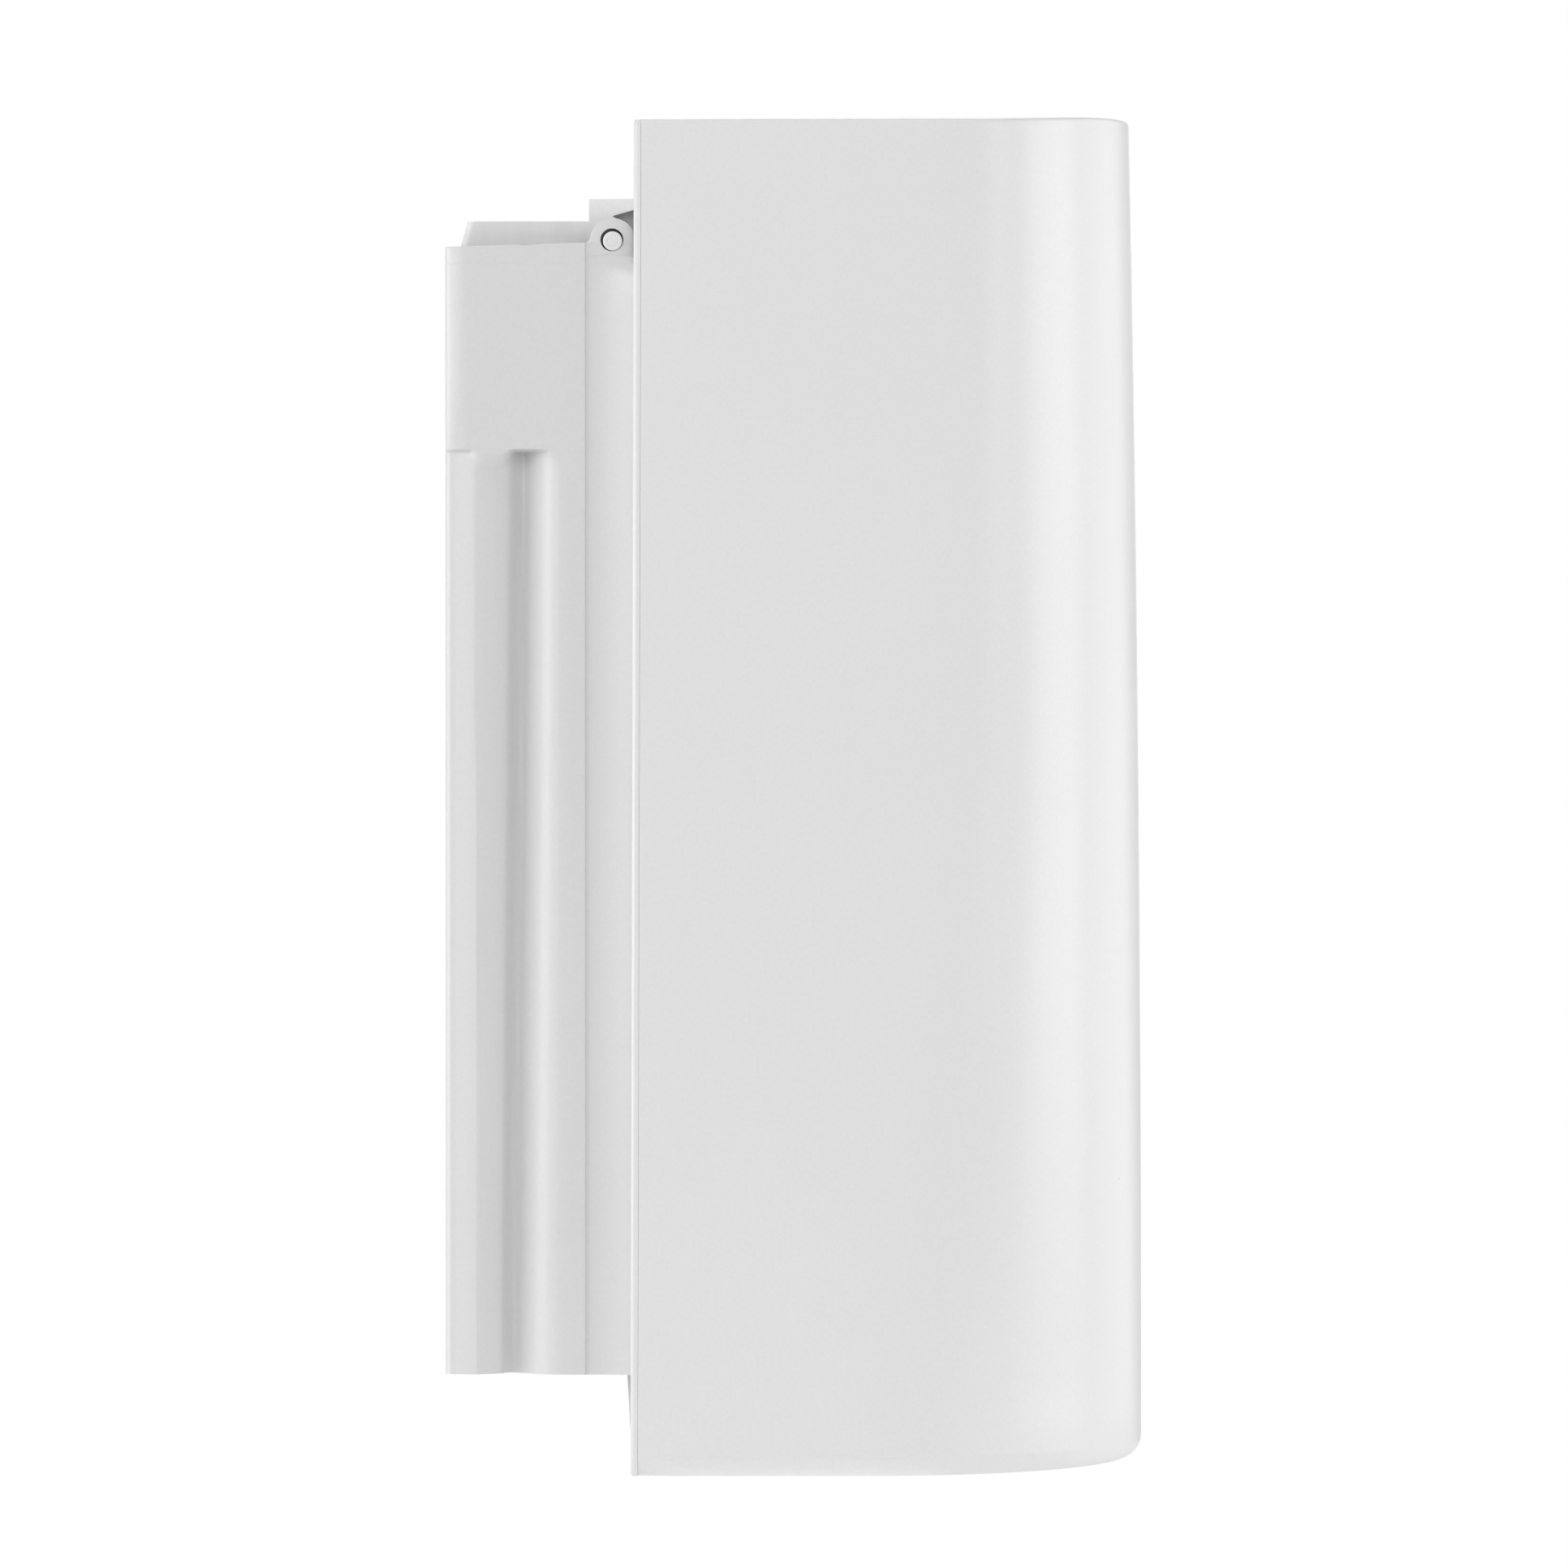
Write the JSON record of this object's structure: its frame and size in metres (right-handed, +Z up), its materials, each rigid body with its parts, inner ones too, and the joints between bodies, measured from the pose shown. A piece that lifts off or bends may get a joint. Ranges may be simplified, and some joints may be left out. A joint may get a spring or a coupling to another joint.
{
  "type": "garage door opener",
  "caption": "Wall-mounted side-drive garage door opener: white hood hinged on a rear wall channel, with motor, gears, board and a torsion bar collar inside",
  "frame": {"origin": "centre of the rear channel's wall face, on the wall plane Y = 0", "axes": "+Z up, +Y into the wall, the hood faces -Y, +X is the drive side with the torsion bar collar"},
  "size_m": [0.216, 0.2071, 0.4029],
  "materials": {
    "hood_white": "satin moulded white",
    "channel_white": "fine satin moulded white",
    "liner_grey": "matt pale grey",
    "zinc_steel": "bright zinc plate",
    "bronze": "sintered bronze",
    "motor_black": "satin black enamel",
    "casting": "as-cast grey",
    "board_green": "solder-masked laminate",
    "black_plastic": "satin black",
    "grommet_rubber": "matt",
    "copper": "enamelled wire under clear tape",
    "nylon": "natural nylon",
    "frosted_lens": "frosted diffuser",
    "lever_red": "red powder coat",
    "button_yellow": "satin",
    "button_grey": "satin"
  },
  "bodies": {
    "wall_unit": {"rear_channel": "channel_white", "channel_end_plate": "channel_white", "cord_clamp": "channel_white", "control_bezel": "channel_white", "motor_connector": "channel_white", "wiring_liner": "liner_grey", "chassis_plate": "zinc_steel", "chassis_screw_1": "zinc_steel", "chassis_screw_2": "zinc_steel", "chassis_screw_3": "zinc_steel", "chassis_screw_4": "zinc_steel", "motor_bracket": "zinc_steel", "radio_module": "zinc_steel", "heat_sink": "zinc_steel", "release_pivot": "zinc_steel", "lock_keeper": "zinc_steel", "output_bush_inner": "bronze", "output_bush_outer": "bronze", "motor_can": "motor_black", "supply_capacitor": "motor_black", "transformer_core": "motor_black", "gearbox_housing": "casting", "gearbox_cover": "casting", "motor_gearhead": "casting", "logic_board": "board_green", "motor_end_cap": "black_plastic", "relay_open": "black_plastic", "relay_close": "black_plastic", "encoder_sensor": "black_plastic", "mains_terminal_block": "black_plastic", "motor_lead": "black_plastic", "up_switch": "black_plastic", "learn_switch": "black_plastic", "down_switch": "black_plastic", "end_plate_grommet": "grommet_rubber", "transformer_coil": "copper", "terminal_block": "button_grey"},
    "hood": {"hood_shell": "hood_white", "hood_back_frame": "hood_white", "hinge_pin_left": "hood_white", "hinge_pin_right": "hood_white", "light_lens": "frosted_lens", "led_board": "board_green"},
    "lock_stud": {"cover_lock_stud": "zinc_steel"},
    "output_drive": {"output_shaft": "zinc_steel", "output_gear": "nylon", "drive_collar": "zinc_steel", "collar_set_screw_1": "motor_black", "collar_set_screw_2": "motor_black", "encoder_wheel": "black_plastic"},
    "motor_rotor": {"motor_shaft": "zinc_steel", "drive_pinion": "zinc_steel"},
    "up_key": {"up_button": "button_grey"},
    "learn_key": {"learn_button": "button_yellow"},
    "down_key": {"down_button": "button_grey"},
    "release_lever": {"release_lever": "lever_red"}
  },
  "joints": [
    {"name": "hood_hinge", "type": "hinge", "parent": "wall_unit", "child": "hood", "pos_m": [0, -0.0492, 0.167], "axis": [-1, 0, 0], "range_deg": [0, 80]},
    {"name": "output_spin", "type": "hinge", "parent": "wall_unit", "child": "output_drive", "pos_m": [0, -0.066, 0.07], "axis": [1, 0, 0], "continuous": true},
    {"name": "pinion_spin", "type": "hinge", "parent": "wall_unit", "child": "motor_rotor", "pos_m": [0, -0.102, 0.055], "axis": [1, 0, 0], "continuous": true},
    {"name": "up_press", "type": "slide", "parent": "wall_unit", "child": "up_key", "axis": [0, 1, 0], "range_m": [0, 0.0012], "stiffness_N_per_m": 400, "springref_m": -0.0006},
    {"name": "learn_press", "type": "slide", "parent": "wall_unit", "child": "learn_key", "axis": [0, 1, 0], "range_m": [0, 0.0012], "stiffness_N_per_m": 400, "springref_m": -0.0006},
    {"name": "down_press", "type": "slide", "parent": "wall_unit", "child": "down_key", "axis": [0, 1, 0], "range_m": [0, 0.0012], "stiffness_N_per_m": 400, "springref_m": -0.0006},
    {"name": "release_pull", "type": "hinge", "parent": "wall_unit", "child": "release_lever", "pos_m": [0, -0.106, 0.092], "axis": [-1, 0, 0], "range_deg": [0, 25]},
    {"name": "lock_turn", "type": "hinge", "parent": "hood", "child": "lock_stud", "pos_m": [0, -0.068, -0.138], "axis": [1, 0, 0], "range_deg": [0, 90]}
  ],
  "couplings": [
    {"joint": "pinion_spin", "follows": "output_spin", "ratio": -3.3333}
  ]
}
